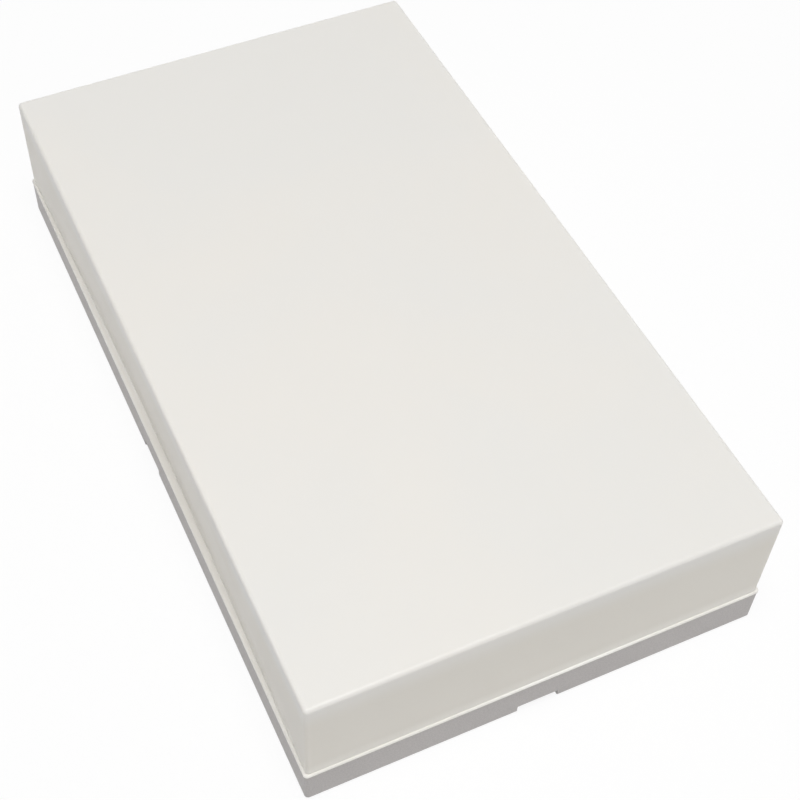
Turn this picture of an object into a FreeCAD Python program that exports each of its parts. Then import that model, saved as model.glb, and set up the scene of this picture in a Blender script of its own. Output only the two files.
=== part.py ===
"""Wet palette: a deep opal lid over a shallow base that carries a lift-out water tray.

The tray holds a sponge with a sheet of palette paper on it. The lid stands on the base's rim with a thin lip.
Its two long walls are drawn in a little at the rim, so that they press on the seal ring that runs round the
tray's upstand, and the upstand, the seal and the tray's well follow that curve.

Frame: millimetres, +Z up, X across the short side, Y along the long side. The origin is on the table, under
the middle of the footprint.
"""
import FreeCAD, Part
import enum
import os
import re
import Sketcher

SIZES = (
    ("lid_width", 120, "lid outside, across the short side"),
    ("lid_length", 210.5, "lid outside, along the long side"),
    ("lid_height", 30.7, "lid from its rim to its top"),
    ("lid_wall", 2, "thickness of the lid's walls"),
    ("lid_roof", 2.2, "thickness of the lid's flat top"),
    ("lid_edge_radius", 1, "outside rounding of the lid's top and upright edges"),
    ("lid_inner_radius", 0.6, "inside rounding of the lid's top and upright edges"),
    ("wall_bow", 1.5, "how far a long lid wall is drawn in at the middle of its rim"),
    ("ledge", 0.6, "how far the lip at the lid's rim stands out from the lid's ends"),
    ("lip_thickness", 0.5, "thickness of the lip"),
    ("lip_chamfer", 0.2, "chamfer on the lip's upper edge"),
    ("lip_overhang", 0.15, "how far the lip stands out over the base shell"),
    ("skirt_height", 11.1, "base shell from its lower edge to its rim"),
    ("skirt_wall", 1.8, "thickness of the base shell's walls"),
    ("skirt_corner_radius", 1, "outside rounding of the base's and the lip's upright corners"),
    ("skirt_chamfer", 0.4, "chamfer on the base shell's lower outer edge"),
    ("floor_rise", 3, "base floor's underside above the skirt's lower edge"),
    ("floor_thickness", 1.6, "thickness of the base floor"),
    ("notch_width", 11, "width of the finger notch in the middle of each side"),
    ("notch_height", 2.5, "height of the finger notches"),
    ("rib_thickness", 1.2, "thickness of the ribs under the base floor"),
    ("rib_height", 2, "height of the ribs under the base floor"),
    ("rib_count", 6, "number of ribs across the base floor, even so that none meets a notch"),
    ("rib_margin", 12, "clear space between a foot socket and the nearest cross rib"),
    ("foot_diameter", 12, "diameter of a rubber foot"),
    ("foot_proud", 0.5, "how far a foot stands out below the skirt"),
    ("foot_inset", 15, "centre of a foot from the outside of the skirt"),
    ("foot_chamfer", 0.4, "chamfer on a foot's lower edge"),
    ("socket_wall", 1.4, "thickness of the ring that holds a foot"),
    ("socket_height", 2, "height of the ring that holds a foot"),
    ("socket_clearance", 0.15, "gap all round a foot in its ring"),
    ("tray_wall", 1.6, "thickness of the water tray's walls"),
    ("tray_floor", 1.5, "thickness of the water tray's floor"),
    ("tray_corner_radius", 1.2, "outside rounding of the tray's upright corners"),
    ("well_radius", 1.5, "rounding inside the tray's well, at its floor and corners"),
    ("flange_thickness", 0.8, "thickness of the flange that centres the tray in the base"),
    ("flange_chamfer", 0.2, "chamfer on the flange's upper outer edge"),
    ("flange_clearance", 0.25, "gap between the flange and the base shell"),
    ("upstand_height", 5, "tray wall above the flange, inside the lid"),
    ("upstand_gap", 0.6, "gap between the upstand and the lid"),
    ("upstand_chamfer", 0.4, "chamfer on the upstand's top edges"),
    ("seal_rise", 1.4, "seal groove above the flange"),
    ("seal_height", 2, "height of the seal ring and its groove"),
    ("seal_depth", 0.8, "depth of the seal groove"),
    ("seal_seat", 0.05, "gap between the seal ring and the bottom of its groove"),
    ("seal_clearance", 0.25, "gap between the seal ring and the lid"),
    ("seal_chamfer", 0.25, "chamfer on the seal ring's outer edges"),
    ("sponge_thickness", 5, "thickness of the sponge"),
    ("sponge_gap", 0.5, "gap between the sponge and the rounding of the well"),
    ("sponge_corner_radius", 4, "rounding of the sponge's upright corners"),
    ("sponge_chamfer", 0.6, "chamfer on the sponge's upper and lower edges"),
    ("paper_thickness", 0.2, "thickness of the palette paper"),
    ("paper_margin", 3, "sponge left bare round the paper"),
    ("paper_corner_radius", 3, "rounding of the paper's corners"),
)
ALIASES = {alias for alias, number, note in SIZES}

# Levels above the table.
FLOOR_BOTTOM = "(foot_proud + floor_rise)"
FLOOR_TOP = f"({FLOOR_BOTTOM} + floor_thickness)"
RIM = "(foot_proud + skirt_height)"
FLANGE_BOTTOM = f"({RIM} - flange_thickness)"
UPSTAND_TOP = f"({RIM} + upstand_height)"
GROOVE_BOTTOM = f"({RIM} + seal_rise)"
LIP_TOP = f"({RIM} + lip_thickness)"
LID_TOP = f"({RIM} + lid_height)"
LID_CEILING = f"({LID_TOP} - lid_roof)"
WELL_FLOOR = f"({FLOOR_TOP} + tray_floor)"
SPONGE_TOP = f"({WELL_FLOOR} + sponge_thickness)"

# Insets of the nested outlines from the outside of the lid.
LIP_INSET = "(-ledge)"
BASE_INSET = f"({LIP_INSET} + lip_overhang)"
BASE_INSIDE = f"({BASE_INSET} + skirt_wall)"
FLANGE_INSET = f"({BASE_INSIDE} + flange_clearance)"
UPSTAND_INSET = "(lid_wall + upstand_gap)"
GROOVE_INSET = f"({UPSTAND_INSET} + seal_depth)"
SEAL_OUTSIDE = "(lid_wall + seal_clearance)"
SEAL_INSIDE = f"({GROOVE_INSET} - seal_seat)"
WELL_INSET = f"({UPSTAND_INSET} + tray_wall)"
SPONGE_INSET = f"({WELL_INSET} + well_radius + sponge_gap)"
PAPER_INSET = f"({SPONGE_INSET} + paper_margin)"

# Places of the feet, on both axes from the middle of the base.
FOOT_X = f"(lid_width / 2 - {BASE_INSET} - foot_inset)"
FOOT_Y = f"(lid_length / 2 - {BASE_INSET} - foot_inset)"
SOCKET_RADIUS = "(foot_diameter / 2 + socket_clearance)"
CORNERS = {
    "front_left": (-1, -1),
    "front_right": (1, -1),
    "back_left": (-1, 1),
    "back_right": (1, 1),
}

TOLERANCE = 0.001


class Place(enum.IntEnum):
    """How a sketch counts its two axes and the points of a line, an arc or a circle."""

    Y_AXIS = -2
    X_AXIS = -1
    START = 1
    END = 2
    CENTRE = 3


ORIGIN_POINT = (Place.X_AXIS, Place.START)

doc = FreeCAD.newDocument("WetPalette")
sheet = doc.addObject("Spreadsheet::Sheet", "Sizes")


def fill_sheet():
    for row, (alias, number, note) in enumerate(SIZES, 1):
        sheet.set(f"A{row}", note)
        sheet.set(f"B{row}", str(number))
        sheet.setAlias(f"B{row}", alias)
    doc.recompute()


def formula(text):
    """Expression text in which each size's name stands for its cell."""
    return re.sub(r"[a-z_]+", lambda word: f"Sizes.{word[0]}" if word[0] in ALIASES else word[0], text)


def value(text):
    return float(sheet.evalExpression(formula(text)))


def bind(item, prop, text):
    item.setExpression(prop, formula(text))


def new_body(label):
    body = doc.addObject("PartDesign::Body", label)
    body.Label = label
    return body


def origin_item(body, role):
    return next(item for item in body.Origin.OriginFeatures if item.Role == role)


def new_sketch(body, name, plane, offset):
    """Empty sketch on one of the body's own planes, moved along its normal by a formula."""
    sketch = body.newObject("Sketcher::SketchObject", name)
    sketch.AttachmentSupport = [(origin_item(body, plane), "")]
    sketch.MapMode = "FlatFace"
    bind(sketch, "AttachmentOffset.Base.z", offset)
    return sketch


def constrain(sketch, kind, *where):
    return sketch.addConstraint(Sketcher.Constraint(kind, *where))


def size_constraint(sketch, name, text, kind, *where):
    """Dimension with its own name, bound to a formula."""
    index = constrain(sketch, kind, *where, value(text))
    sketch.renameConstraint(index, name)
    bind(sketch, f"Constraints.{name}", text)


def bow_radius(length):
    """Radius of a long side that is drawn in by the bow over its whole length."""
    return f"((({length}) ^ 2 / 4 + wall_bow ^ 2) / (2 * wall_bow))"


def draw_outline(sketch, name, inset, bowed=False):
    """The lid's outline moved in by inset, with its long sides straight or drawn in by the bow."""
    width = f"lid_width - 2 * {inset}"
    length = f"lid_length - 2 * {inset}"
    x = value(width) / 2
    y = value(length) / 2
    front_left = FreeCAD.Vector(-x, -y)
    front_right = FreeCAD.Vector(x, -y)
    back_right = FreeCAD.Vector(x, y)
    back_left = FreeCAD.Vector(-x, y)
    if bowed:
        waist = FreeCAD.Vector(x - value("wall_bow"), 0)
        right_side = Part.Arc(back_right, waist, front_right)
        left_side = Part.Arc(front_left, -waist, back_left)
    else:
        right_side = Part.LineSegment(back_right, front_right)
        left_side = Part.LineSegment(front_left, back_left)
    front = sketch.addGeometry(Part.LineSegment(front_left, front_right))
    right = sketch.addGeometry(right_side)
    back = sketch.addGeometry(Part.LineSegment(back_right, back_left))
    left = sketch.addGeometry(left_side)
    joins = (
        (front, Place.START, left, Place.START),
        (front, Place.END, right, Place.END),
        (back, Place.START, right, Place.START),
        (back, Place.END, left, Place.END),
    )
    for join in joins:
        constrain(sketch, "Coincident", *join)
    constrain(sketch, "Symmetric", front, Place.START, front, Place.END, Place.Y_AXIS)
    constrain(sketch, "Symmetric", front, Place.START, back, Place.END, Place.X_AXIS)
    constrain(sketch, "Symmetric", front, Place.END, back, Place.START, Place.X_AXIS)
    size_constraint(sketch, f"{name}_width", width, "DistanceX", front, Place.START, front, Place.END)
    size_constraint(sketch, f"{name}_length", length, "DistanceY", front, Place.START, back, Place.END)
    if bowed:
        radius = bow_radius(length)
        size_constraint(sketch, f"{name}_right_radius", radius, "Radius", right)
        size_constraint(sketch, f"{name}_left_radius", radius, "Radius", left)


def draw_bar(sketch, name, width, low, high):
    """Rectangle that is centred on the sketch's vertical axis, between two levels."""
    x = value(width) / 2
    bottom = value(low)
    top = value(high)
    points = [FreeCAD.Vector(*point) for point in ((-x, bottom), (x, bottom), (x, top), (-x, top))]
    sides = [
        sketch.addGeometry(Part.LineSegment(point, points[(index + 1) % len(points)]))
        for index, point in enumerate(points)
    ]
    for index, side in enumerate(sides):
        follower = sides[(index + 1) % len(sides)]
        constrain(sketch, "Coincident", side, Place.END, follower, Place.START)
    lower, right, upper, left = sides
    constrain(sketch, "Symmetric", lower, Place.START, lower, Place.END, Place.Y_AXIS)
    constrain(sketch, "Symmetric", upper, Place.START, upper, Place.END, Place.Y_AXIS)
    constrain(sketch, "Vertical", right)
    size_constraint(sketch, f"{name}_width", width, "DistanceX", lower, Place.START, lower, Place.END)
    size_constraint(sketch, f"{name}_low", low, "DistanceY", *ORIGIN_POINT, lower, Place.END)
    size_constraint(sketch, f"{name}_high", high, "DistanceY", *ORIGIN_POINT, upper, Place.START)


def outline_sketch(body, name, level, *outlines, bowed=False):
    sketch = new_sketch(body, name, "XY_Plane", level)
    for index, inset in enumerate(outlines):
        draw_outline(sketch, f"outline{index}", inset, bowed)
    return sketch


def extrude(body, kind, name, sketch, length, flipped=False):
    feature = body.newObject(f"PartDesign::{kind}", name)
    feature.Profile = sketch
    feature.Reversed = flipped
    bind(feature, "Length", length)
    doc.recompute()
    return feature


def mirror(body, name, feature, plane):
    """Copy of a feature on the other side of one of the body's own planes."""
    twin = body.newObject("PartDesign::Mirrored", name)
    twin.Originals = [feature]
    twin.MirrorPlane = (origin_item(body, plane), [""])
    body.Tip = twin
    doc.recompute()


def ease_edges(body, kind, size, name, text, chosen):
    """Fillet or chamfer on those edges of the body so far that the test chosen accepts."""
    base = body.Tip
    names = [f"Edge{index}" for index, edge in enumerate(base.Shape.Edges, 1) if chosen(edge)]
    if not names:
        raise RuntimeError(f"no edges to ease for {name}")
    feature = body.newObject(f"PartDesign::{kind}", name)
    feature.Base = (base, names)
    bind(feature, size, text)
    doc.recompute()


def round_edges(body, name, radius, chosen):
    ease_edges(body, "Fillet", "Radius", name, radius, chosen)


def chamfer_edges(body, name, width, chosen):
    ease_edges(body, "Chamfer", "Size", name, width, chosen)


def is_upright(edge):
    first = edge.Vertexes[0].Point
    last = edge.Vertexes[-1].Point
    return abs(first.x - last.x) + abs(first.y - last.y) < TOLERANCE < abs(first.z - last.z)


def is_at(edge, level):
    return all(abs(vertex.Z - level) < TOLERANCE for vertex in edge.Vertexes)


def is_within(edge, inset):
    """Whether the whole edge lies inside the lid's outline moved in by inset."""
    box = edge.BoundBox
    x = value(f"lid_width / 2 - {inset}") + TOLERANCE
    y = value(f"lid_length / 2 - {inset}") + TOLERANCE
    return max(-box.XMin, box.XMax) < x and max(-box.YMin, box.YMax) < y


def draw_in_long_walls(body, name, inset):
    """Cut both long walls to a shallow cylinder, deepest at mid-rim, that leans out to nothing at the top.

    The cylinder's axis passes far outside the wall. It starts one lid height below the rim.
    """
    cut = body.newObject("PartDesign::SubtractiveCylinder", name)
    cut.AttachmentSupport = [(origin_item(body, "XY_Plane"), "")]
    cut.MapMode = "FlatFace"
    cut.AttachmentOffset = FreeCAD.Placement(FreeCAD.Vector(), FreeCAD.Rotation(FreeCAD.Vector(0, 1, 0), 1))
    lean = "atan(wall_bow / (lid_height - lid_edge_radius))"
    outside = bow_radius("lid_length")
    waist = "lid_width / 2 - wall_bow"
    bind(cut, "AttachmentOffset.Rotation.Angle", lean)
    bind(cut, "AttachmentOffset.Base.x", f"{waist} + {outside} * cos({lean}) - lid_height * sin({lean})")
    bind(cut, "AttachmentOffset.Base.z", f"{RIM} - {outside} * sin({lean}) - lid_height * cos({lean})")
    bind(cut, "Radius", f"{outside} + {inset}")
    bind(cut, "Height", "3 * lid_height")
    doc.recompute()
    mirror(body, f"{name}_twin", cut, "YZ_Plane")


def make_lid_form(label, inset, top, radius):
    """Block with rounded top and upright edges, and with its long walls drawn in."""
    body = new_body(label)
    outline = outline_sketch(body, f"{label}_outline", RIM, inset)
    extrude(body, "Pad", f"{label}_block", outline, f"{top} - {RIM}")
    crown = value(top)
    round_edges(body, f"{label}_rounding", radius, lambda edge: is_upright(edge) or is_at(edge, crown))
    draw_in_long_walls(body, f"{label}_bow", inset)
    return body


def add_lip(body):
    """Thin lip round the lid's rim, straight on all sides."""
    outline = outline_sketch(body, "LipOutline", RIM, LIP_INSET)
    extrude(body, "Pad", "Lip", outline, "lip_thickness")
    round_edges(
        body, "LipCorners", "skirt_corner_radius",
        lambda edge: is_upright(edge) and not is_within(edge, "0"),
    )
    lip_top = value(LIP_TOP)
    chamfer_edges(
        body, "LipChamfer", "lip_chamfer",
        lambda edge: is_at(edge, lip_top) and not is_within(edge, "0"),
    )


def make_lid():
    """The lid's outside with its lip, hollowed by a core that follows it one wall further in."""
    body = make_lid_form("lid", "0", LID_TOP, "lid_edge_radius")
    add_lip(body)
    core = make_lid_form("lid_core", "lid_wall", LID_CEILING, "lid_inner_radius")
    hollow = body.newObject("PartDesign::Boolean", "lid_hollow")
    hollow.Type = "Cut"
    hollow.setObjects([core])
    doc.recompute()
    return body


def make_water_tray():
    body = new_body("water_tray")
    tub = outline_sketch(body, "TubOutline", FLOOR_TOP, UPSTAND_INSET, bowed=True)
    extrude(body, "Pad", "Tub", tub, f"{UPSTAND_TOP} - {FLOOR_TOP}")
    round_edges(body, "TubCorners", "tray_corner_radius", is_upright)
    flange = outline_sketch(body, "FlangeOutline", FLANGE_BOTTOM, FLANGE_INSET)
    extrude(body, "Pad", "Flange", flange, "flange_thickness")
    round_edges(
        body, "FlangeCorners", "tray_corner_radius",
        lambda edge: is_upright(edge) and not is_within(edge, UPSTAND_INSET),
    )
    well = outline_sketch(body, "WellOutline", UPSTAND_TOP, WELL_INSET, bowed=True)
    extrude(body, "Pocket", "Well", well, f"{UPSTAND_TOP} - {WELL_FLOOR}")
    well_floor = value(WELL_FLOOR)
    round_edges(
        body, "WellRounding", "well_radius",
        lambda edge: is_within(edge, WELL_INSET) and (is_upright(edge) or is_at(edge, well_floor)),
    )
    groove = new_sketch(body, "GrooveOutline", "XY_Plane", GROOVE_BOTTOM)
    draw_outline(groove, "outside", "0")
    draw_outline(groove, "bottom", GROOVE_INSET, bowed=True)
    extrude(body, "Pocket", "SealGroove", groove, "seal_height", flipped=True)
    upstand_top = value(UPSTAND_TOP)
    chamfer_edges(body, "UpstandChamfer", "upstand_chamfer", lambda edge: is_at(edge, upstand_top))
    rim = value(RIM)
    chamfer_edges(
        body, "FlangeChamfer", "flange_chamfer",
        lambda edge: is_at(edge, rim) and not is_within(edge, UPSTAND_INSET),
    )
    return body


def make_seal_ring():
    body = new_body("seal_ring")
    ring = outline_sketch(body, "SealOutline", GROOVE_BOTTOM, SEAL_OUTSIDE, SEAL_INSIDE, bowed=True)
    extrude(body, "Pad", "Seal", ring, "seal_height")
    round_edges(
        body, "SealCorners", "tray_corner_radius",
        lambda edge: is_upright(edge) and not is_within(edge, UPSTAND_INSET),
    )
    levels = (value(GROOVE_BOTTOM), value(f"{GROOVE_BOTTOM} + seal_height"))
    chamfer_edges(
        body, "SealChamfer", "seal_chamfer",
        lambda edge: not is_within(edge, UPSTAND_INSET) and any(is_at(edge, level) for level in levels),
    )
    return body


def cut_notch(body, side, plane, reach):
    """Finger notch in the lower edge of one wall, and its twin in the wall opposite."""
    sketch = new_sketch(body, f"{side}NotchOutline", plane, reach)
    draw_bar(sketch, "notch", "notch_width", "0", "foot_proud + notch_height")
    notch = extrude(body, "Pocket", f"{side}Notch", sketch, "2 * skirt_wall")
    mirror(body, f"{side}NotchTwin", notch, plane)


def add_ribs(body):
    """Ribs under the floor: an even row across it, between the foot sockets, and one that joins the row."""
    row_half = f"({FOOT_Y} - {SOCKET_RADIUS} - socket_wall - rib_margin)"
    spine = new_sketch(body, "SpineOutline", "XY_Plane", FLOOR_BOTTOM)
    draw_bar(spine, "spine", "rib_thickness", f"-{row_half}", row_half)
    extrude(body, "Pad", "Spine", spine, "rib_height", flipped=True)
    first = new_sketch(body, "CrossRibOutline", "XY_Plane", FLOOR_BOTTOM)
    draw_bar(
        first, "rib", f"lid_width - 2 * {BASE_INSIDE}",
        f"-{row_half} - rib_thickness / 2", f"-{row_half} + rib_thickness / 2",
    )
    rib = extrude(body, "Pad", "CrossRib", first, "rib_height", flipped=True)
    row = body.newObject("PartDesign::LinearPattern", "CrossRibs")
    row.Originals = [rib]
    row.Direction = (origin_item(body, "Y_Axis"), [""])
    bind(row, "Length", f"2 * {row_half}")
    bind(row, "Occurrences", "rib_count")
    body.Tip = row
    doc.recompute()


def add_sockets(body):
    """Rings under the floor that hold the four feet."""
    sketch = new_sketch(body, "SocketOutline", "XY_Plane", FLOOR_BOTTOM)
    for corner, (side_x, side_y) in CORNERS.items():
        centre = FreeCAD.Vector(side_x * value(FOOT_X), side_y * value(FOOT_Y))
        inner = sketch.addGeometry(Part.Circle(centre, FreeCAD.Vector(0, 0, 1), value(SOCKET_RADIUS)))
        outer_radius = f"{SOCKET_RADIUS} + socket_wall"
        outer = sketch.addGeometry(Part.Circle(centre, FreeCAD.Vector(0, 0, 1), value(outer_radius)))
        constrain(sketch, "Coincident", inner, Place.CENTRE, outer, Place.CENTRE)
        size_constraint(
            sketch, f"{corner}_x", f"{side_x} * {FOOT_X}", "DistanceX", *ORIGIN_POINT, inner, Place.CENTRE,
        )
        size_constraint(
            sketch, f"{corner}_y", f"{side_y} * {FOOT_Y}", "DistanceY", *ORIGIN_POINT, inner, Place.CENTRE,
        )
        size_constraint(sketch, f"{corner}_inner", SOCKET_RADIUS, "Radius", inner)
        size_constraint(sketch, f"{corner}_outer", outer_radius, "Radius", outer)
    extrude(body, "Pad", "Sockets", sketch, "socket_height", flipped=True)


def make_base_shell():
    body = new_body("base_shell")
    skirt = outline_sketch(body, "SkirtOutline", "foot_proud", BASE_INSET)
    extrude(body, "Pad", "Skirt", skirt, "skirt_height")
    round_edges(body, "SkirtCorners", "skirt_corner_radius", is_upright)
    skirt_foot = value("foot_proud")
    chamfer_edges(body, "SkirtChamfer", "skirt_chamfer", lambda edge: is_at(edge, skirt_foot))
    upper = outline_sketch(body, "UpperOutline", RIM, BASE_INSIDE)
    extrude(body, "Pocket", "UpperHollow", upper, f"{RIM} - {FLOOR_TOP}")
    lower = outline_sketch(body, "LowerOutline", "foot_proud", BASE_INSIDE)
    extrude(body, "Pocket", "LowerHollow", lower, "floor_rise", flipped=True)
    cut_notch(body, "End", "XZ_Plane", f"lid_length / 2 - {BASE_INSET}")
    cut_notch(body, "Side", "YZ_Plane", f"lid_width / 2 - {BASE_INSET}")
    add_ribs(body)
    add_sockets(body)
    return body


def make_foot(corner):
    side_x, side_y = CORNERS[corner]
    body = new_body(f"foot_{corner}")
    sketch = new_sketch(body, "FootOutline", "XY_Plane", "0")
    disc = Part.Circle(FreeCAD.Vector(), FreeCAD.Vector(0, 0, 1), value("foot_diameter / 2"))
    circle = sketch.addGeometry(disc)
    constrain(sketch, "Coincident", circle, Place.CENTRE, *ORIGIN_POINT)
    size_constraint(sketch, "foot_diameter", "foot_diameter", "Diameter", circle)
    extrude(body, "Pad", "Foot", sketch, FLOOR_BOTTOM)
    chamfer_edges(body, "FootChamfer", "foot_chamfer", lambda edge: is_at(edge, 0))
    bind(body, "Placement.Base.x", f"{side_x} * {FOOT_X}")
    bind(body, "Placement.Base.y", f"{side_y} * {FOOT_Y}")
    return body


def make_sponge():
    """The sponge's sides stay clear of the well's drawn-in walls."""
    body = new_body("sponge")
    pad = new_sketch(body, "SpongeOutline", "XY_Plane", WELL_FLOOR)
    half_length = f"(lid_length / 2 - {SPONGE_INSET})"
    draw_bar(pad, "sponge", f"lid_width - 2 * ({SPONGE_INSET} + wall_bow)", f"-{half_length}", half_length)
    extrude(body, "Pad", "Sponge", pad, "sponge_thickness")
    round_edges(body, "SpongeCorners", "sponge_corner_radius", is_upright)
    chamfer_edges(body, "SpongeEdges", "sponge_chamfer", lambda edge: not is_upright(edge))
    return body


def make_palette_paper():
    body = new_body("palette_paper")
    sheet_outline = new_sketch(body, "PaperOutline", "XY_Plane", SPONGE_TOP)
    half_length = f"(lid_length / 2 - {PAPER_INSET})"
    width = f"lid_width - 2 * ({PAPER_INSET} + wall_bow)"
    draw_bar(sheet_outline, "paper", width, f"-{half_length}", half_length)
    extrude(body, "Pad", "Paper", sheet_outline, "paper_thickness")
    round_edges(body, "PaperCorners", "paper_corner_radius", is_upright)
    return body


def check_document():
    for item in doc.Objects:
        if "Invalid" in item.State or "Error" in item.State:
            raise RuntimeError(f"{item.Label} failed: {item.State}")


def write_part(body):
    shape = body.Shape
    if shape.isNull() or not shape.isValid() or len(shape.Solids) != 1:
        raise RuntimeError(f"{body.Label} is not one valid solid")
    shape.exportStep(f"parts/{body.Label}.step")
    print(f"{body.Label}: {shape.Volume:.1f} mm3, {shape.BoundBox}")


def main():
    fill_sheet()
    bodies = [make_base_shell()]
    bodies += [make_foot(corner) for corner in CORNERS]
    bodies += [make_water_tray(), make_seal_ring(), make_sponge(), make_palette_paper(), make_lid()]
    doc.recompute()
    check_document()
    os.makedirs("parts", exist_ok=True)
    for body in bodies:
        write_part(body)


main()
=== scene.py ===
"""Wet palette for model painting, dressed for a studio picture.

The moulded parts keep their solids and get their finishes here. The sponge and the sheet of palette paper
are modelled here as soft pieces and stand for their plain solids.
"""

import math

import bmesh
import bpy
from mathutils import Matrix, Vector, noise


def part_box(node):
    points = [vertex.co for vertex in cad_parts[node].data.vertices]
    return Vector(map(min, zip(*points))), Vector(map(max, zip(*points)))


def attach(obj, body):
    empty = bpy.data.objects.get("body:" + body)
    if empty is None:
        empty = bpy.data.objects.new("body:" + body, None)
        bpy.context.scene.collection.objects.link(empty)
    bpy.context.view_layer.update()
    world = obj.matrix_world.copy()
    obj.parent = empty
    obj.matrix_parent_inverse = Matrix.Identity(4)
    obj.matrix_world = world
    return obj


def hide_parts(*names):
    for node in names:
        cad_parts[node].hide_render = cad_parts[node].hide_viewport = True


bl_info = {
    "name": "Wet Palette",
    "version": (1, 0, 0),
    "blender": (4, 5, 0),
    "location": "3D View > Sidebar > Wet Palette",
    "description": "Finishes, soft pieces and studio stage of a wet palette",
    "category": "Object",
}

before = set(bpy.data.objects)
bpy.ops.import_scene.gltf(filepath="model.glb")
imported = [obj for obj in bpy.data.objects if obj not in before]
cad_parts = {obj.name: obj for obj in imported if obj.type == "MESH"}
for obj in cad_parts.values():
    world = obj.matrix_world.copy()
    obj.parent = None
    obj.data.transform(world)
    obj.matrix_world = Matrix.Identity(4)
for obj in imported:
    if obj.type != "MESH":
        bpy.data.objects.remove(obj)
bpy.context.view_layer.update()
MM = 0.001
FEET = ("foot_front_left", "foot_front_right", "foot_back_left", "foot_back_right")

# Finishes: colours, and shares of a colour, a mask or a depth.
WHITE = (1.0, 1.0, 1.0, 1.0)
FIBRE_COLOUR = (0.93, 0.91, 0.84)
BASE_CLOUD_SHADE = 0.96
FOAM_CLOUD_SHADE = 0.93
GRAIN_SHARE = 0.6
RUB_SMOOTHING = 0.16
# Shares of painted shade in the small and the fine pores.
SMALL_PORE_SHADE = 0.55
FINE_PORE_SHADE = 0.3
FINE_PORE_DEPTH = 0.5

# Forms: pores in pore spacings, and shares of the sheet's waves.
CORNER_SEGMENTS = 5
EDGE_SEGMENTS = 3
SHARP_ANGLE = math.radians(30)
LEAST_PORE = 0.16
PORE_SPREAD = 0.34
PORE_SHUFFLE = 7.0
WANDER_WIDTH = 18 * MM
WAVE_SHARE = 0.8
RIPPLE_SHARE = 0.2
RIPPLE_WIDTH = 0.4
WAVE_START = 0.35
RIPPLE_START = 0.5
WAVE_STRETCH = 0.7
LEAST_CURL = 0.65
CURL_SPREAD = 0.35

# Stage, in metres apart from the sensor, which is in millimetres.
FLOOR_HALF = 3.0
SENSOR_WIDTH = 36.0
NEAREST_SEEN = 0.01

# Sockets of the Mix node's colour mode, which share their names with its other modes.
MIX_FACTOR = 0
MIX_FIRST = 6
MIX_SECOND = 7
MIX_RESULT = 2


# Settings


def colour_setting(name, description, default):
    """A linear colour that the user can change."""
    return bpy.props.FloatVectorProperty(
        name=name, description=description, default=default, subtype="COLOR", size=3, min=0, max=1
    )


def length_setting(name, description, default):
    """A length in metres that the user can change."""
    return bpy.props.FloatProperty(
        name=name, description=description, default=default, unit="LENGTH", precision=5, min=0
    )


def share_setting(name, description, default):
    """A share from 0 to 1 that the user can change."""
    return bpy.props.FloatProperty(
        name=name, description=description, default=default, subtype="FACTOR", min=0, max=1
    )


def angle_setting(name, description, degrees):
    """An angle that the user can change."""
    return bpy.props.FloatProperty(
        name=name, description=description, default=math.radians(degrees), subtype="ANGLE"
    )


def place_setting(name, description, default):
    """A place in metres that the user can change."""
    return bpy.props.FloatVectorProperty(
        name=name, description=description, default=default, subtype="TRANSLATION", precision=5, size=3
    )


def power_setting(name, description, default):
    """A lamp's power in watts that the user can change."""
    return bpy.props.FloatProperty(name=name, description=description, default=default, unit="POWER", min=0)


class LidSettings(bpy.types.PropertyGroup):
    """Milky cover that lets some light through."""

    colour: colour_setting("Colour", "Colour of the milky plastic", (0.85, 0.825, 0.78))
    cloud_colour: colour_setting("Cloud colour", "Cooler colour of its faint clouds", (0.835, 0.82, 0.785))
    # Painted shade: below the top, the walls darken and warm towards this colour.
    wall_shade_colour: colour_setting("Deep colour", "Warmer colour low on the walls", (0.805, 0.77, 0.70))
    wall_shade_reach: length_setting("Deep reach", "How far below the top that colour is full", 9 * MM)
    roughness: share_setting("Roughness", "How far the satin surface spreads reflections", 0.40)
    glow: share_setting("Glow", "Share of the light that scatters inside the wall", 0.12)
    glow_depth: length_setting("Glow depth", "How far light travels inside the wall", 2.5 * MM)
    # Painted light: the edges, and the walls near the lip, brighten towards this colour, standing for light
    # that passes through the milky plastic.
    painted_light_colour: colour_setting("Edge colour", "Colour of edges, lit from two sides", (0.97, 0.955, 0.915))
    edge_light_reach: length_setting("Edge reach", "How far from an edge it looks brighter", 1.8 * MM)
    lip_reach: length_setting("Lip reach", "How far the lip's light climbs up the walls", 5.0 * MM)
    lip_light: share_setting("Lip light", "How strong that light is at the lip", 0.55)


class BaseSettings(bpy.types.PropertyGroup):
    """Low skirt of spark-eroded plastic."""

    colour: colour_setting("Colour", "Colour of the grey plastic", (0.51, 0.485, 0.475))
    rubbed_colour: colour_setting("Rubbed colour", "Colour of edges rubbed smooth", (0.57, 0.55, 0.54))
    roughness: share_setting("Roughness", "How far the textured surface spreads reflections", 0.52)
    grain_size: length_setting("Grain size", "Width of the grains in the texture", 0.45 * MM)
    grain_depth: length_setting("Grain depth", "Height of the grains in the texture", 0.05 * MM)
    grain_contrast: share_setting("Grain contrast", "How much paler and darker single grains look", 0.10)


class FootSettings(bpy.types.PropertyGroup):
    """Rubber feet under the base."""

    colour: colour_setting("Colour", "Colour of the rubber", (0.055, 0.055, 0.057))
    dust_colour: colour_setting("Dust colour", "Colour of the dust on the rubber", (0.22, 0.21, 0.20))
    roughness: share_setting("Roughness", "How far the rubber spreads reflections", 0.75)


class TraySettings(bpy.types.PropertyGroup):
    """Glossy white water tray."""

    colour: colour_setting("Colour", "Colour of the white plastic", (0.90, 0.90, 0.885))
    tide_colour: colour_setting("Tide colour", "Colour of faint marks of dried water", (0.84, 0.845, 0.83))
    roughness: share_setting("Roughness", "How far the polished surface spreads reflections", 0.24)


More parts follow.
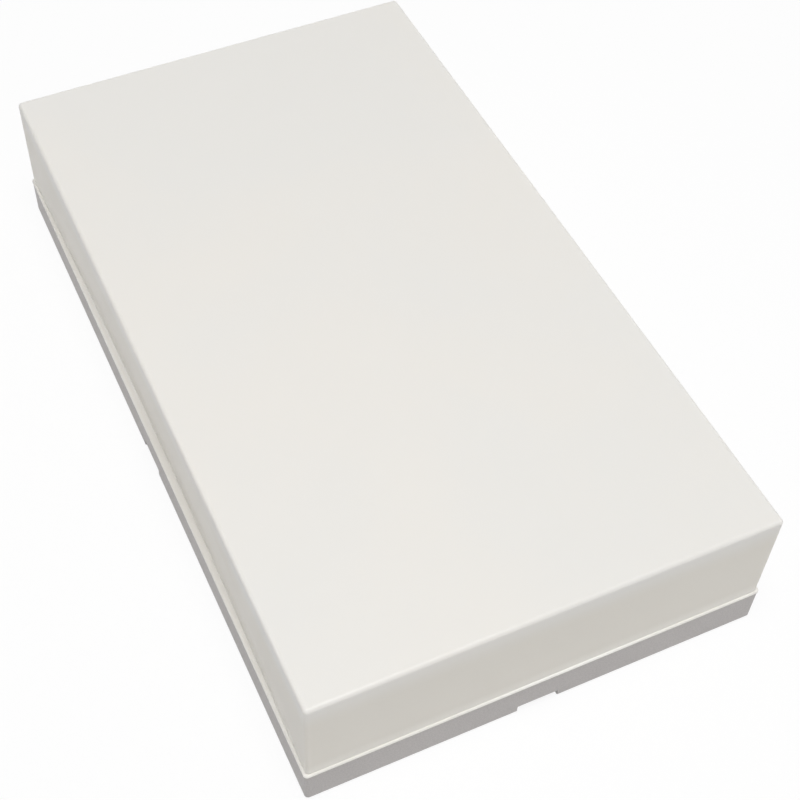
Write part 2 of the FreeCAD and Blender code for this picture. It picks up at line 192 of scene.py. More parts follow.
class SealSettings(bpy.types.PropertyGroup):
    """Silicone ring in the tray's groove."""

    colour: colour_setting("Colour", "Colour of the silicone", (0.62, 0.65, 0.67))
    dust_colour: colour_setting("Dust colour", "Colour of the lint that clings to it", (0.74, 0.73, 0.70))
    roughness: share_setting("Roughness", "How far the silicone spreads reflections", 0.45)


class SpongeSettings(bpy.types.PropertyGroup):
    """Thin sheet of pressed foam with open pores."""

    colour: colour_setting("Colour", "Colour of the foam", (0.80, 0.66, 0.33))
    # Painted shade: the pores darken towards this colour.
    pore_shade_colour: colour_setting("Pore colour", "Colour deep inside a pore", (0.42, 0.27, 0.09))
    fill: share_setting("Fill", "How tight the foam is, from slack to full", 0.8)
    corner: length_setting("Corner radius", "Rounding of the four upright corners", 4 * MM)
    edge: length_setting("Edge radius", "Rounding of the cut edges", 0.9 * MM)
    voxel: length_setting("Mesh size", "Width of the faces that carry the pores", 0.75 * MM)
    pore_spacing: length_setting("Pore spacing", "Distance between large pores", 3.4 * MM)
    pore_depth: length_setting("Pore depth", "Depth of the largest pores", 1.1 * MM)
    sag: length_setting("Sag", "How far the top and the sides wander inwards", 0.35 * MM)


class PaperSettings(bpy.types.PropertyGroup):
    """Sheet of damp parchment on the sponge."""

    colour: colour_setting("Colour", "Colour of the dry paper", (0.84, 0.80, 0.70))
    damp_colour: colour_setting("Damp colour", "Colour where the sponge has wetted it", (0.74, 0.685, 0.55))
    corner: length_setting("Corner radius", "Rounding of the sheet's corners", 3 * MM)
    cell: length_setting("Mesh size", "Width of the sheet's faces", 1.0 * MM)
    thickness: length_setting("Thickness", "Thickness of the sheet", 0.12 * MM)
    cockle_height: length_setting("Cockle height", "Height of the waves that water raises", 0.7 * MM)
    cockle_width: length_setting("Cockle width", "Distance between those waves", 34 * MM)
    curl_height: length_setting("Curl height", "How far the corners lift", 1.2 * MM)
    curl_reach: length_setting("Curl reach", "How far from the corner the lift starts", 26 * MM)


class StageSettings(bpy.types.PropertyGroup):
    """Camera, lamps and floor."""

    lens: bpy.props.FloatProperty(
        name="Lens", description="Focal length in millimetres", default=68.092, unit="CAMERA", min=1
    )
    camera_place: place_setting("Camera place", "Where the camera stands", (-0.112124, -0.240099, 0.331059))
    azimuth: angle_setting("Azimuth", "How far the camera is turned from +Y towards +X", 24.522)
    elevation: angle_setting("Elevation", "How far the camera looks down", 51.973)
    roll: angle_setting("Roll", "How far the camera is turned about its own axis", 0.620)
    shift: bpy.props.FloatVectorProperty(
        name="Shift", description="Sideways and upward picture shift", default=(0.06483, 0.00983), size=2
    )
    overhead_place: place_setting("Overhead place", "Where the wide lamp hangs", (-0.12, -0.25, 1.3))
    overhead_size: length_setting("Overhead size", "Width of the wide lamp", 0.5)
    overhead_power: power_setting("Overhead power", "Power of the wide lamp", 12.0)
    edge_place: place_setting("Edge place", "Where the small lamp for glints stands", (-0.72, 0.34, 0.6))
    edge_size: length_setting("Edge size", "Width of the small lamp", 0.08)
    edge_power: power_setting("Edge power", "Power of the small lamp", 1.6)
    ambient_left: share_setting("Ambient left", "Strength of the light from the far left", 0.14)
    ambient_right: share_setting("Ambient right", "Strength of the light from the far right", 0.42)
    floor_colour: colour_setting("Floor colour", "Colour of the floor", (0.95, 0.95, 0.95))
    floor_white: share_setting("Floor white", "Share of the floor's look that is plain white", 0.9)


PIECES = {
    "lid": LidSettings,
    "base": BaseSettings,
    "feet": FootSettings,
    "tray": TraySettings,
    "seal": SealSettings,
    "sponge": SpongeSettings,
    "paper": PaperSettings,
    "stage": StageSettings,
}


class WetPaletteSettings(bpy.types.PropertyGroup):
    """All settings of the wet palette."""

    lid: bpy.props.PointerProperty(type=LidSettings, name="Lid", description="Finish of the lid")
    base: bpy.props.PointerProperty(type=BaseSettings, name="Base", description="Finish of the base")
    feet: bpy.props.PointerProperty(type=FootSettings, name="Feet", description="Finish of the feet")
    tray: bpy.props.PointerProperty(type=TraySettings, name="Tray", description="Finish of the tray")
    seal: bpy.props.PointerProperty(type=SealSettings, name="Seal", description="Finish of the seal ring")
    sponge: bpy.props.PointerProperty(type=SpongeSettings, name="Sponge", description="Form of the sponge")
    paper: bpy.props.PointerProperty(type=PaperSettings, name="Paper", description="Form of the paper")
    stage: bpy.props.PointerProperty(type=StageSettings, name="Stage", description="Camera and light")


# Node graphs


def opaque(colour):
    """The colour with the alpha that a colour socket wants."""
    return (*colour, 1.0)


class Graph:
    """One node tree, with short calls that add a node, set its inputs and link it."""

    def __init__(self, tree):
        self.tree = tree

    def add(self, kind, sockets=None, **settings):
        """Adds a node. A socket's value is a number, a vector, a colour or another node's output."""
        node = self.tree.nodes.new(kind)
        for name, value in settings.items():
            setattr(node, name, value)
        for key, value in (sockets or {}).items():
            if isinstance(value, bpy.types.NodeSocket):
                self.tree.links.new(value, node.inputs[key])
            else:
                node.inputs[key].default_value = value
        return node

    def math(self, operation, first, second=0.0):
        """The result of one sum on two values."""
        return self.add("ShaderNodeMath", {0: first, 1: second}, operation=operation).outputs["Value"]

    def remap(self, value, low, high, to_low=0.0, to_high=1.0):
        """The value's range from low to high, stretched to the new range and held there."""
        sockets = {"Value": value, "From Min": low, "From Max": high, "To Min": to_low, "To Max": to_high}
        return self.add("ShaderNodeMapRange", sockets, interpolation_type="SMOOTHSTEP").outputs["Result"]

    def mix(self, factor, first, second):
        """The two colours mixed by the factor."""
        sockets = {MIX_FACTOR: factor, MIX_FIRST: first, MIX_SECOND: second}
        return self.add("ShaderNodeMix", sockets, data_type="RGBA").outputs[MIX_RESULT]

    def noise(self, place, size, detail=2.0, distortion=0.0):
        """Soft noise whose lumps are about as wide as size, in metres."""
        scale = self.math("DIVIDE", 1.0, size)
        sockets = {"Vector": place, "Scale": scale, "Detail": detail, "Distortion": distortion}
        return self.add("ShaderNodeTexNoise", sockets).outputs["Fac"]

    def cells(self, place, size):
        """Distance from the middle of the nearest of many scattered cells, in cell widths."""
        scale = self.math("DIVIDE", 1.0, size)
        return self.add("ShaderNodeTexVoronoi", {"Vector": place, "Scale": scale}).outputs["Distance"]

    def group(self, shared, **sockets):
        """Places a shared effect. Its sockets are named in words joined by underscores."""
        named = {key.replace("_", " ").title(): value for key, value in sockets.items()}
        return self.add("ShaderNodeGroup", named, node_tree=shared).outputs

    def place(self):
        """Object coordinates, in metres."""
        return self.add("ShaderNodeTexCoord").outputs["Object"]

    def bump(self, height, depth):
        """A normal that rises and falls by depth, in metres, with the height."""
        return self.add("ShaderNodeBump", {"Distance": depth, "Height": height}).outputs["Normal"]


FLOAT = "NodeSocketFloat"
COLOUR = "NodeSocketColor"
VECTOR = "NodeSocketVector"


def shared_effect(name, inputs, outputs):
    """Starts a node group with these named sockets. Returns its graph, its inputs and its output node."""
    tree = bpy.data.node_groups.new(name, "ShaderNodeTree")
    for socket, kind in inputs.items():
        tree.interface.new_socket(socket, in_out="INPUT", socket_type=kind)
    for socket, kind in outputs.items():
        tree.interface.new_socket(socket, in_out="OUTPUT", socket_type=kind)
    graph = Graph(tree)
    return graph, graph.add("NodeGroupInput").outputs, graph.add("NodeGroupOutput").inputs


def existing(name):
    """The shared effect of that name, if it has been built."""
    return bpy.data.node_groups.get(name)


def clouds_effect():
    """Soft clouds of a second colour in a plain colour."""
    if existing("Clouds"):
        return existing("Clouds")
    inputs = {"Place": VECTOR, "Colour": COLOUR, "Cloud Colour": COLOUR, "Cloud Size": FLOAT}
    graph, given, result = shared_effect("Clouds", inputs, {"Colour": COLOUR, "Mask": FLOAT})
    wide = graph.noise(given["Place"], given["Cloud Size"], detail=3.0, distortion=0.4)
    mask = graph.remap(wide, 0.32, 0.68)
    graph.tree.links.new(graph.mix(mask, given["Colour"], given["Cloud Colour"]), result["Colour"])
    graph.tree.links.new(mask, result["Mask"])
    return graph.tree


def moulded_skin_effect():
    """Fine grain on a slow waviness, as a mould leaves them."""
    if existing("Moulded Skin"):
        return existing("Moulded Skin")
    inputs = {"Place": VECTOR, "Grain Size": FLOAT, "Wave Size": FLOAT, "Wave Share": FLOAT}
    graph, given, result = shared_effect("Moulded Skin", inputs, {"Height": FLOAT})
    grain = graph.noise(given["Place"], given["Grain Size"], detail=3.0)
    wave = graph.noise(given["Place"], given["Wave Size"], detail=1.0)
    raised = graph.math("MULTIPLY", wave, given["Wave Share"])
    graph.tree.links.new(graph.math("ADD", grain, raised), result["Height"])
    return graph.tree


def handling_effect():
    """Roughness that drifts where hands and cloths have polished a surface."""
    if existing("Handling"):
        return existing("Handling")
    inputs = {"Place": VECTOR, "Roughness": FLOAT, "Spread": FLOAT, "Smear Size": FLOAT}
    graph, given, result = shared_effect("Handling", inputs, {"Roughness": FLOAT})
    smear = graph.noise(given["Place"], given["Smear Size"], detail=4.0, distortion=1.2)
    centred = graph.math("SUBTRACT", smear, 0.5)
    drift = graph.math("MULTIPLY", centred, given["Spread"])
    graph.tree.links.new(graph.math("ADD", given["Roughness"], drift), result["Roughness"])
    return graph.tree


def edge_rub_and_light_effect():
    """Mask of the edges, where the surface turns within the radius: rubbed wear on the base, painted edge
    light on the lid.
    """
    if existing("Edge Rub And Light"):
        return existing("Edge Rub And Light")
    inputs = {"Place": VECTOR, "Radius": FLOAT, "Break Size": FLOAT}
    graph, given, result = shared_effect("Edge Rub And Light", inputs, {"Mask": FLOAT})
    rounded = graph.add("ShaderNodeBevel", {"Radius": given["Radius"]}, samples=6).outputs["Normal"]
    plain = graph.add("ShaderNodeNewGeometry").outputs["Normal"]
    alike = graph.add("ShaderNodeVectorMath", {0: rounded, 1: plain}, operation="DOT_PRODUCT")
    turned = graph.remap(alike.outputs["Value"], 0.995, 0.80)
    patchy = graph.remap(graph.noise(given["Place"], given["Break Size"], detail=4.0), 0.3, 0.62, 0.35, 1.0)
    graph.tree.links.new(graph.math("MULTIPLY", turned, patchy), result["Mask"])
    return graph.tree


def specks_effect():
    """Mask of small scattered specks, such as dust and lint."""
    if existing("Specks"):
        return existing("Specks")
    inputs = {"Place": VECTOR, "Speck Size": FLOAT, "Share": FLOAT}
    graph, given, result = shared_effect("Specks", inputs, {"Mask": FLOAT})
    distance = graph.cells(given["Place"], given["Speck Size"])
    patch = graph.noise(given["Place"], graph.math("MULTIPLY", given["Speck Size"], 6.0))
    reach = graph.math("MULTIPLY", patch, given["Share"])
    nearer = graph.math("SUBTRACT", reach, distance)
    graph.tree.links.new(graph.remap(nearer, 0.0, 0.12), result["Mask"])
    return graph.tree


# Materials


def new_material(name):
    """An empty node material with its output. Returns the material, its graph and the output's inputs."""
    material = bpy.data.materials.new(name)
    material.use_nodes = True
    material.node_tree.nodes.clear()
    graph = Graph(material.node_tree)
    return material, graph, graph.add("ShaderNodeOutputMaterial").inputs


def surface(graph, output, sockets):
    """Ends the material in a Principled shader with these sockets."""
    shader = graph.add("ShaderNodeBsdfPrincipled", sockets)
    graph.tree.links.new(shader.outputs["BSDF"], output["Surface"])
    return shader


def opal_plastic(settings):
    """Milky satin plastic with faint clouds, which glows where light reaches it from behind. Its colour also
    holds painted light on the edges and at the foot of the walls, and painted shade on the walls below the
    top.
    """
    material, graph, output = new_material("opal_plastic")
    place = graph.place()
    clouds = graph.group(
        clouds_effect(),
        place=place,
        colour=opaque(settings.colour),
        cloud_colour=opaque(settings.cloud_colour),
        cloud_size=70 * MM,
    )
    sheen = graph.group(
        handling_effect(), place=place, roughness=settings.roughness, spread=0.16, smear_size=30 * MM
    )
    skin = graph.group(
        moulded_skin_effect(), place=place, grain_size=0.5 * MM, wave_size=18 * MM, wave_share=6.0
    )
    # Painted light on the edges.
    edge = graph.group(edge_rub_and_light_effect(), place=place, radius=settings.edge_light_reach, break_size=60 * MM)["Mask"]
    lid_low, lid_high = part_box("lid")
    level = graph.add("ShaderNodeSeparateXYZ", {"Vector": place}).outputs["Z"]
    # Painted shade: 0 at the top, 1 where the walls have darkened fully.
    deep = graph.remap(level, lid_high.z, lid_high.z - settings.wall_shade_reach)
    milk_and_shade = graph.mix(deep, clouds["Colour"], opaque(settings.wall_shade_colour))
    # Painted light: the walls brighten towards the lip.
    lip = graph.remap(level, lid_low.z + settings.lip_reach, lid_low.z, 0.0, settings.lip_light)
    surface(
        graph,
        output,
        {
            # Painted light on the edges and at the lip, over the painted shade of the walls.
            "Base Color": graph.mix(graph.math("MAXIMUM", edge, lip), milk_and_shade, opaque(settings.painted_light_colour)),
            "Roughness": sheen["Roughness"],
            "Normal": graph.bump(skin["Height"], 0.006 * MM),
            "Subsurface Weight": settings.glow,
            "Subsurface Scale": settings.glow_depth,
            "Subsurface Radius": (1.0, 0.97, 0.88),
        },
    )
    return material


def grey_plastic(settings):
    """Spark-eroded grey plastic whose edges are rubbed smooth and pale."""
    material, graph, output = new_material("grey_plastic")
    place = graph.place()
    clouds = graph.group(
        clouds_effect(),
        place=place,
        colour=opaque(settings.colour),
        cloud_colour=opaque([BASE_CLOUD_SHADE * part for part in settings.colour]),
        cloud_size=26 * MM,
    )
    grain = graph.remap(graph.noise(place, settings.grain_size), 0.35, 0.65)
    pale = opaque([min(1.0, part * (1.0 + settings.grain_contrast)) for part in settings.colour])
    dark = opaque([part * (1.0 - settings.grain_contrast) for part in settings.colour])
    grainy = graph.mix(GRAIN_SHARE, clouds["Colour"], graph.mix(grain, dark, pale))
    rub = graph.group(edge_rub_and_light_effect(), place=place, radius=0.5 * MM, break_size=9 * MM)["Mask"]
    sheen = graph.group(
        handling_effect(), place=place, roughness=settings.roughness, spread=0.14, smear_size=14 * MM
    )
    smooth = graph.math("MULTIPLY", rub, RUB_SMOOTHING)
    skin = graph.group(
        moulded_skin_effect(), place=place, grain_size=settings.grain_size, wave_size=22 * MM, wave_share=1.5
    )
    surface(
        graph,
        output,
        {
            "Base Color": graph.mix(rub, grainy, opaque(settings.rubbed_colour)),
            "Roughness": graph.math("SUBTRACT", sheen["Roughness"], smooth),
            "Normal": graph.bump(skin["Height"], settings.grain_depth),
        },
    )
    return material


def foot_rubber(settings):
    """Dark rubber with a dusty bloom."""
    material, graph, output = new_material("foot_rubber")
    place = graph.place()
    dust = graph.group(specks_effect(), place=place, speck_size=0.8 * MM, share=0.5)["Mask"]
    bloom = graph.remap(graph.noise(place, 5 * MM, detail=4.0), 0.35, 0.75, 0.0, 0.35)
    dusty = graph.math("MAXIMUM", dust, bloom)
    skin = graph.group(
        moulded_skin_effect(), place=place, grain_size=0.35 * MM, wave_size=6 * MM, wave_share=1.0
    )
    sheen = graph.group(
        handling_effect(), place=place, roughness=settings.roughness, spread=0.2, smear_size=4 * MM
    )
    surface(
        graph,
        output,
        {
            "Base Color": graph.mix(dusty, opaque(settings.colour), opaque(settings.dust_colour)),
            "Roughness": sheen["Roughness"],
            "Normal": graph.bump(skin["Height"], 0.05 * MM),
        },
    )
    return material


def white_plastic(settings):
    """Polished white plastic with the faint tide marks of dried water."""
    material, graph, output = new_material("white_plastic")
    place = graph.place()
    clouds = graph.group(
        clouds_effect(),
        place=place,
        colour=opaque(settings.colour),
        cloud_colour=opaque(settings.tide_colour),
        cloud_size=32 * MM,
    )
    tide = graph.remap(clouds["Mask"], 0.45, 0.55, 0.0, 0.06)
    sheen = graph.group(
        handling_effect(), place=place, roughness=settings.roughness, spread=0.12, smear_size=20 * MM
    )
    skin = graph.group(
        moulded_skin_effect(), place=place, grain_size=0.6 * MM, wave_size=14 * MM, wave_share=4.0
    )
    surface(
        graph,
        output,
        {
            "Base Color": clouds["Colour"],
            "Roughness": graph.math("ADD", sheen["Roughness"], tide),
            "Normal": graph.bump(skin["Height"], 0.008 * MM),
        },
    )
    return material


def seal_silicone(settings):
    """Cloudy silicone that holds a little lint."""
    material, graph, output = new_material("seal_silicone")
    place = graph.place()
    lint = graph.group(specks_effect(), place=place, speck_size=1.1 * MM, share=0.4)["Mask"]
    sheen = graph.group(
        handling_effect(), place=place, roughness=settings.roughness, spread=0.2, smear_size=8 * MM
    )
    skin = graph.group(
        moulded_skin_effect(), place=place, grain_size=0.4 * MM, wave_size=7 * MM, wave_share=2.0
    )
    surface(
        graph,
        output,
        {
            "Base Color": graph.mix(lint, opaque(settings.colour), opaque(settings.dust_colour)),
            "Roughness": sheen["Roughness"],
            "Normal": graph.bump(skin["Height"], 0.02 * MM),
            "Subsurface Weight": 0.6,
            "Subsurface Scale": 1.2 * MM,
        },
    )
    return material


def sponge_foam(settings):
    """Open foam: large pores come from the mesh, small ones from cells in the surface. Painted shade darkens
    all the pores.
    """
    material, graph, output = new_material("sponge_foam")
    place = graph.place()
    pore = graph.add("ShaderNodeAttribute", attribute_name="pore").outputs["Fac"]
    small = graph.remap(graph.cells(place, 0.9 * MM), 0.42, 0.12)
    fine = graph.remap(graph.cells(place, 0.4 * MM), 0.40, 0.15)
    clouds = graph.group(
        clouds_effect(),
        place=place,
        colour=opaque(settings.colour),
        cloud_colour=opaque([FOAM_CLOUD_SHADE * part for part in settings.colour]),
        cloud_size=12 * MM,
    )
    # Painted shade: how dark each point is for large, small and fine pores.
    deep = graph.math("MAXIMUM", pore, graph.math("MULTIPLY", small, SMALL_PORE_SHADE))
    pore_shade_mask = graph.math("MAXIMUM", deep, graph.math("MULTIPLY", fine, FINE_PORE_SHADE))
    sunk = graph.math("ADD", small, graph.math("MULTIPLY", fine, FINE_PORE_DEPTH))
    height = graph.math("SUBTRACT", 1.0, sunk)
    surface(
        graph,
        output,
        {
            "Base Color": graph.mix(pore_shade_mask, clouds["Colour"], opaque(settings.pore_shade_colour)),
            "Roughness": 0.95,
            "Normal": graph.bump(height, 0.25 * MM),
            "Subsurface Weight": 0.25,
            "Subsurface Scale": 1.5 * MM,
            "Specular IOR Level": 0.2,
        },
    )
    return material


def damp_parchment(settings):
    """Fibrous paper, darker and smoother where the sponge has wetted it."""
    material, graph, output = new_material("damp_parchment")
    place = graph.place()
    clouds = graph.group(
        clouds_effect(),
        place=place,
        colour=opaque(settings.colour),
        cloud_colour=opaque(settings.damp_colour),
        cloud_size=24 * MM,
    )
    along = graph.add("ShaderNodeMapping", {"Vector": place, "Scale": (9.0, 1.0, 1.0)}).outputs["Vector"]
    across = graph.add("ShaderNodeMapping", {"Vector": place, "Scale": (1.0, 7.0, 1.0)}).outputs["Vector"]
    long_fibres = graph.noise(along, 3.5 * MM, detail=4.0, distortion=0.6)
    cross_fibres = graph.noise(across, 3.0 * MM, detail=4.0, distortion=0.6)
    fibres = graph.math("MULTIPLY", graph.math("ADD", long_fibres, cross_fibres), 0.5)
    paleness = graph.remap(fibres, 0.42, 0.6, 0.0, 0.16)
    surface(
        graph,
        output,
        {
            "Base Color": graph.mix(paleness, clouds["Colour"], opaque(FIBRE_COLOUR)),
            "Roughness": graph.remap(clouds["Mask"], 0.0, 1.0, 0.72, 0.5),
            "Normal": graph.bump(fibres, 0.05 * MM),
            "Subsurface Weight": 0.2,
            "Subsurface Scale": 0.5 * MM,
        },
    )
    return material


def seen_white(graph):
    """1 for rays that see a surface, straight or in a gloss, and 0 for rays that only carry light."""
    ray = graph.add("ShaderNodeLightPath").outputs
    looked_at = graph.math("MAXIMUM", ray["Is Camera Ray"], ray["Is Glossy Ray"])
    return graph.math("MAXIMUM", looked_at, ray["Is Transmission Ray"])


def white_floor(settings):
    """Pale floor that reads as white but keeps the object's soft shadow."""
    material, graph, output = new_material("white_floor")
    paper = graph.add("ShaderNodeBsdfDiffuse", {"Color": opaque(settings.floor_colour)}).outputs["BSDF"]
    white = graph.add("ShaderNodeEmission", {"Color": WHITE, "Strength": 1.0}).outputs["Emission"]
    share = graph.math("MULTIPLY", seen_white(graph), settings.floor_white)
    mixed = graph.add("ShaderNodeMixShader", {0: share, 1: paper, 2: white})
    graph.tree.links.new(mixed.outputs["Shader"], output["Surface"])
    return material


# Meshes


def finish_node(name, material):
    """Gives a moulded part its finish."""
    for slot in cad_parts[name].material_slots:
        slot.material = material


def new_piece(name, mesh, material):
    """A new object in the scene with this mesh and finish, smoothly shaded."""
    mesh.materials.append(material)
    mesh.shade_smooth()
    piece = bpy.data.objects.new(name, mesh)
    bpy.context.scene.collection.objects.link(piece)
    return piece


def sharp_edges(bm):
    """The edges where two faces meet at a clear angle."""
    return [edge for edge in bm.edges if edge.is_manifold and edge.calc_face_angle() > SHARP_ANGLE]


def bevel(bm, edges, radius, segments):
    """Rounds the edges."""
    bmesh.ops.bevel(
        bm, geom=edges, offset=radius, segments=segments, profile=0.5, affect="EDGES", material=-1
    )


def sponge_block(settings):
    """A block with the sponge's outline, round corners and soft edges."""
    low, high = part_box("sponge")
    bm = bmesh.new()
    bmesh.ops.create_cube(bm, size=1.0)
    bmesh.ops.scale(bm, vec=high - low, verts=bm.verts)
    bmesh.ops.translate(bm, vec=(low + high) / 2, verts=bm.verts)
    upright = [edge for edge in bm.edges if edge.verts[0].co.z != edge.verts[1].co.z]
    bevel(bm, upright, settings.corner, CORNER_SEGMENTS)
    rims = [edge for edge in sharp_edges(bm) if edge.verts[0].co.z == edge.verts[1].co.z]
    bevel(bm, rims, settings.edge, EDGE_SEGMENTS)
    mesh = bpy.data.meshes.new("sponge_block")
    bm.to_mesh(mesh)
    bm.free()
    return mesh


def remeshed(mesh, voxel):
    """The mesh rebuilt from even faces about as wide as the voxel."""
    block = bpy.data.objects.new("remesh_block", mesh)
    bpy.context.scene.collection.objects.link(block)
    remesh = block.modifiers.new("Even faces", "REMESH")
    remesh.mode = "VOXEL"
    remesh.voxel_size = voxel
    even = bpy.data.meshes.new_from_object(block.evaluated_get(bpy.context.evaluated_depsgraph_get()))
    bpy.data.objects.remove(block)
    bpy.data.meshes.remove(mesh)
    return even


def smoothstep(value):
    """0 below 0, 1 above 1 and an even rise between."""
    held = min(max(value, 0.0), 1.0)
    return held * held * (3.0 - 2.0 * held)


def pore_at(place, spacing):
    """How deep a point lies in the nearest large pore, from 0 on the skin to 1 at the bottom."""
    distances, centres = noise.voronoi(place / spacing)
    size = LEAST_PORE + PORE_SPREAD * abs(noise.cell(centres[0] * PORE_SHUFFLE))
    return smoothstep(1.0 - distances[0] / size)


def press_pores(mesh, settings):
    """Lets the foam's skin wander inwards and sinks its pores, and keeps the pores as an attribute."""
    bm = bmesh.new()
    bm.from_mesh(mesh)
    bmesh.ops.smooth_vert(bm, verts=bm.verts, factor=0.5, use_axis_x=True, use_axis_y=True, use_axis_z=True)
    bm.normal_update()
    pores = bm.verts.layers.float.new("pore")
    moves = {}
    for vert in bm.verts:
        pore = pore_at(vert.co, settings.pore_spacing)
        wander = 0.5 + 0.5 * noise.noise(vert.co / WANDER_WIDTH)
        vert[pores] = pore
        moves[vert] = vert.normal * (settings.pore_depth * pore + settings.sag * wander)
    for vert, move in moves.items():
        vert.co -= move
    bm.to_mesh(mesh)
    bm.free()


def rounded_corner(place, half, radius):
    """The place, drawn in where the sheet's corner is round."""
    middle = Vector((math.copysign(half.x - radius, place.x), math.copysign(half.y - radius, place.y), 0.0))
    out = Vector((place.x, place.y, 0.0)) - middle
    beyond_x = out.x * math.copysign(1.0, place.x)
    beyond_y = out.y * math.copysign(1.0, place.y)
    if min(beyond_x, beyond_y) <= 0.0:
        return place
    drawn = middle + out * (max(beyond_x, beyond_y) / out.length)
    return Vector((drawn.x, drawn.y, place.z))


def cockle_at(place, half, settings):
    """Height of the damp sheet over the sponge: slow waves, and corners that lift a little."""
    wave = noise.noise(Vector((place.x, WAVE_STRETCH * place.y, 0.02)) / settings.cockle_width)
    ripple = noise.noise(Vector((place.x, place.y, 0.05)) / (RIPPLE_WIDTH * settings.cockle_width))
    rise = WAVE_SHARE * smoothstep(WAVE_START + wave) + RIPPLE_SHARE * smoothstep(RIPPLE_START + ripple)
    corner = Vector((half.x - abs(place.x), half.y - abs(place.y)))
    lift = smoothstep(1.0 - corner.length / settings.curl_reach)
    which = Vector((math.copysign(1.3, place.x), math.copysign(2.1, place.y), 0.4))
    uneven = LEAST_CURL + CURL_SPREAD * noise.noise(which)
    return settings.cockle_height * rise + settings.curl_height * lift * uneven


def paper_sheet(settings):
    """A flat sheet cut to size with round corners, cockled by damp."""
    low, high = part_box("palette_paper")
    half = (high - low) / 2
    bm = bmesh.new()
    columns = round(2 * half.x / settings.cell)
    rows = round(2 * half.y / settings.cell)
    bmesh.ops.create_grid(bm, x_segments=columns, y_segments=rows, size=1.0)
    bmesh.ops.scale(bm, vec=(half.x, half.y, 1.0), verts=bm.verts)
    for vert in bm.verts:
        vert.co = rounded_corner(vert.co, half, settings.corner)
        vert.co.z = low.z + cockle_at(vert.co, half, settings)
    mesh = bpy.data.meshes.new("palette_paper_sheet")
    bm.to_mesh(mesh)
    bm.free()
    return mesh


# Operators


def settings_of(context):
    """The scene's wet palette settings."""
    return context.scene.wet_palette


class WETPALETTE_OT_lid(bpy.types.Operator):
    """Give the lid its milky plastic"""

    bl_idname = "wet_palette.lid"
    bl_label = "Finish Lid"

    def execute(self, context):
        finish_node("lid", opal_plastic(settings_of(context).lid))
        return {"FINISHED"}


class WETPALETTE_OT_base(bpy.types.Operator):
    """Give the base its textured grey plastic"""

    bl_idname = "wet_palette.base"
    bl_label = "Finish Base"

    def execute(self, context):
        finish_node("base_shell", grey_plastic(settings_of(context).base))
        return {"FINISHED"}


class WETPALETTE_OT_feet(bpy.types.Operator):
    """Give the four feet their rubber"""

    bl_idname = "wet_palette.feet"
    bl_label = "Finish Feet"

    def execute(self, context):
        rubber = foot_rubber(settings_of(context).feet)
        for foot in FEET:
            finish_node(foot, rubber)
        return {"FINISHED"}


class WETPALETTE_OT_tray(bpy.types.Operator):
    """Give the water tray its polished white plastic"""

    bl_idname = "wet_palette.tray"
    bl_label = "Finish Tray"

    def execute(self, context):
        finish_node("water_tray", white_plastic(settings_of(context).tray))
        return {"FINISHED"}


class WETPALETTE_OT_seal(bpy.types.Operator):
    """Give the seal ring its silicone"""

    bl_idname = "wet_palette.seal"
    bl_label = "Finish Seal"

    def execute(self, context):
        finish_node("seal_ring", seal_silicone(settings_of(context).seal))
        return {"FINISHED"}


class WETPALETTE_OT_sponge(bpy.types.Operator):
    """Model the sponge as porous foam"""

    bl_idname = "wet_palette.sponge"
    bl_label = "Make Sponge"

    def execute(self, context):
        settings = settings_of(context).sponge
        mesh = remeshed(sponge_block(settings), settings.voxel)
        press_pores(mesh, settings)
        piece = new_piece("foam_sponge", mesh, sponge_foam(settings))
        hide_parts("sponge")
        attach(piece, "sponge")
        return {"FINISHED"}


class WETPALETTE_OT_paper(bpy.types.Operator):
    """Lay the damp sheet of palette paper on the sponge"""

    bl_idname = "wet_palette.paper"
    bl_label = "Lay Paper"

    def execute(self, context):
        settings = settings_of(context).paper
        piece = new_piece("parchment_sheet", paper_sheet(settings), damp_parchment(settings))
        body = piece.modifiers.new("Thickness", "SOLIDIFY")
        body.thickness = settings.thickness
        body.offset = 1.0
        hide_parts("palette_paper")
        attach(piece, "paper")
        return {"FINISHED"}


def add_floor(settings):
    """A wide floor under the feet."""
    bm = bmesh.new()
    bmesh.ops.create_grid(bm, x_segments=1, y_segments=1, size=FLOOR_HALF)
    mesh = bpy.data.meshes.new("floor")
    bm.to_mesh(mesh)
    bm.free()
    new_piece("floor", mesh, white_floor(settings))


def add_lamp(name, place, size, power):
    """A square soft lamp that shines from its place towards the object."""
    light = bpy.data.lights.new(name, "AREA")
    light.size = size
    light.energy = power
    lamp = bpy.data.objects.new(name, light)
    lamp.location = place
    lamp.rotation_euler = (-Vector(place)).to_track_quat("-Z", "Y").to_euler()
    bpy.context.scene.collection.objects.link(lamp)
    return lamp


def add_world(settings):
    """Light from all round that grows from left to right, behind which the background is white."""
    world = bpy.data.worlds.new("studio")
    bpy.context.scene.world = world
    world.use_nodes = True
    world.node_tree.nodes.clear()
    graph = Graph(world.node_tree)
    direction = graph.add("ShaderNodeTexCoord").outputs["Generated"]
    sideways = graph.add("ShaderNodeSeparateXYZ", {"Vector": direction}).outputs["X"]
    ambient = graph.remap(sideways, -1.0, 1.0, settings.ambient_left, settings.ambient_right)
    strength = graph.remap(seen_white(graph), 0.0, 1.0, ambient, 1.0)
    sky = graph.add("ShaderNodeBackground", {"Color": WHITE, "Strength": strength})
    output = graph.add("ShaderNodeOutputWorld")
    graph.tree.links.new(sky.outputs["Background"], output.inputs["Surface"])


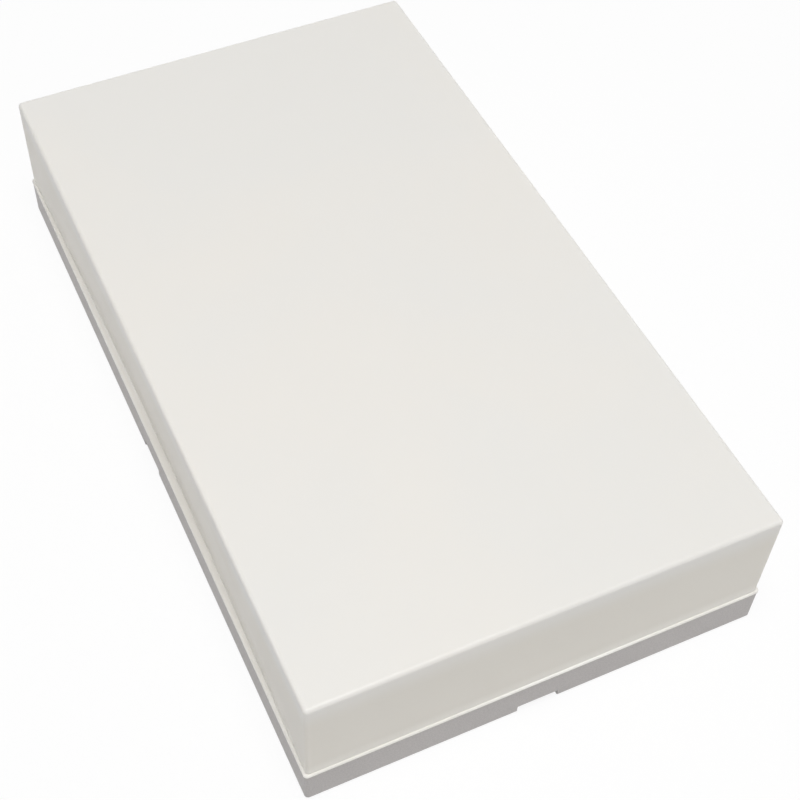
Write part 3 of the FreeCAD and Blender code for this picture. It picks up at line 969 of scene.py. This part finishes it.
def add_camera(settings):
    """The camera at the picture's place and angle."""
    camera = bpy.data.cameras.new("camera")
    camera.lens = settings.lens
    camera.sensor_width = SENSOR_WIDTH
    camera.shift_x, camera.shift_y = settings.shift
    camera.clip_start = NEAREST_SEEN
    viewer = bpy.data.objects.new("camera", camera)
    turn = Matrix.Rotation(-settings.azimuth, 4, "Z")
    tilt = Matrix.Rotation(math.pi / 2 - settings.elevation, 4, "X")
    roll = Matrix.Rotation(settings.roll, 4, "Z")
    viewer.matrix_world = Matrix.Translation(settings.camera_place) @ turn @ tilt @ roll
    bpy.context.scene.collection.objects.link(viewer)
    bpy.context.scene.camera = viewer


class WETPALETTE_OT_stage(bpy.types.Operator):
    """Set up the floor, the soft lamps and the camera"""

    bl_idname = "wet_palette.stage"
    bl_label = "Set Stage"

    def execute(self, context):
        settings = settings_of(context).stage
        add_floor(settings)
        add_lamp("overhead_lamp", settings.overhead_place, settings.overhead_size, settings.overhead_power)
        edge_lamp = add_lamp("edge_lamp", settings.edge_place, settings.edge_size, settings.edge_power)
        edge_lamp.visible_diffuse = False
        add_world(settings)
        add_camera(settings)
        context.scene.view_settings.view_transform = "Standard"
        return {"FINISHED"}


OPERATORS = (
    WETPALETTE_OT_lid,
    WETPALETTE_OT_base,
    WETPALETTE_OT_feet,
    WETPALETTE_OT_tray,
    WETPALETTE_OT_seal,
    WETPALETTE_OT_sponge,
    WETPALETTE_OT_paper,
    WETPALETTE_OT_stage,
)


class WETPALETTE_PT_sidebar(bpy.types.Panel):
    """Settings and steps of the wet palette"""

    bl_idname = "WETPALETTE_PT_sidebar"
    bl_label = "Wet Palette"
    bl_space_type = "VIEW_3D"
    bl_region_type = "UI"
    bl_category = "Wet Palette"

    def draw(self, context):
        settings = settings_of(context)
        for name, operator in zip(PIECES, OPERATORS):
            box = self.layout.box()
            group = getattr(settings, name)
            for key in group.__annotations__:
                box.prop(group, key)
            box.operator(operator.bl_idname)


CLASSES = (*PIECES.values(), WetPaletteSettings, *OPERATORS, WETPALETTE_PT_sidebar)


def register():
    """Registers the classes and gives the scene its settings."""
    for cls in CLASSES:
        bpy.utils.register_class(cls)
    bpy.types.Scene.wet_palette = bpy.props.PointerProperty(type=WetPaletteSettings)


def unregister():
    """Takes the settings and the classes away again."""
    del bpy.types.Scene.wet_palette
    for cls in reversed(CLASSES):
        bpy.utils.unregister_class(cls)


def main():
    """Dresses the whole part."""
    register()
    bpy.ops.wet_palette.lid()
    bpy.ops.wet_palette.base()
    bpy.ops.wet_palette.feet()
    bpy.ops.wet_palette.tray()
    bpy.ops.wet_palette.seal()
    bpy.ops.wet_palette.sponge()
    bpy.ops.wet_palette.paper()
    bpy.ops.wet_palette.stage()


if __name__ == "__main__":
    main()
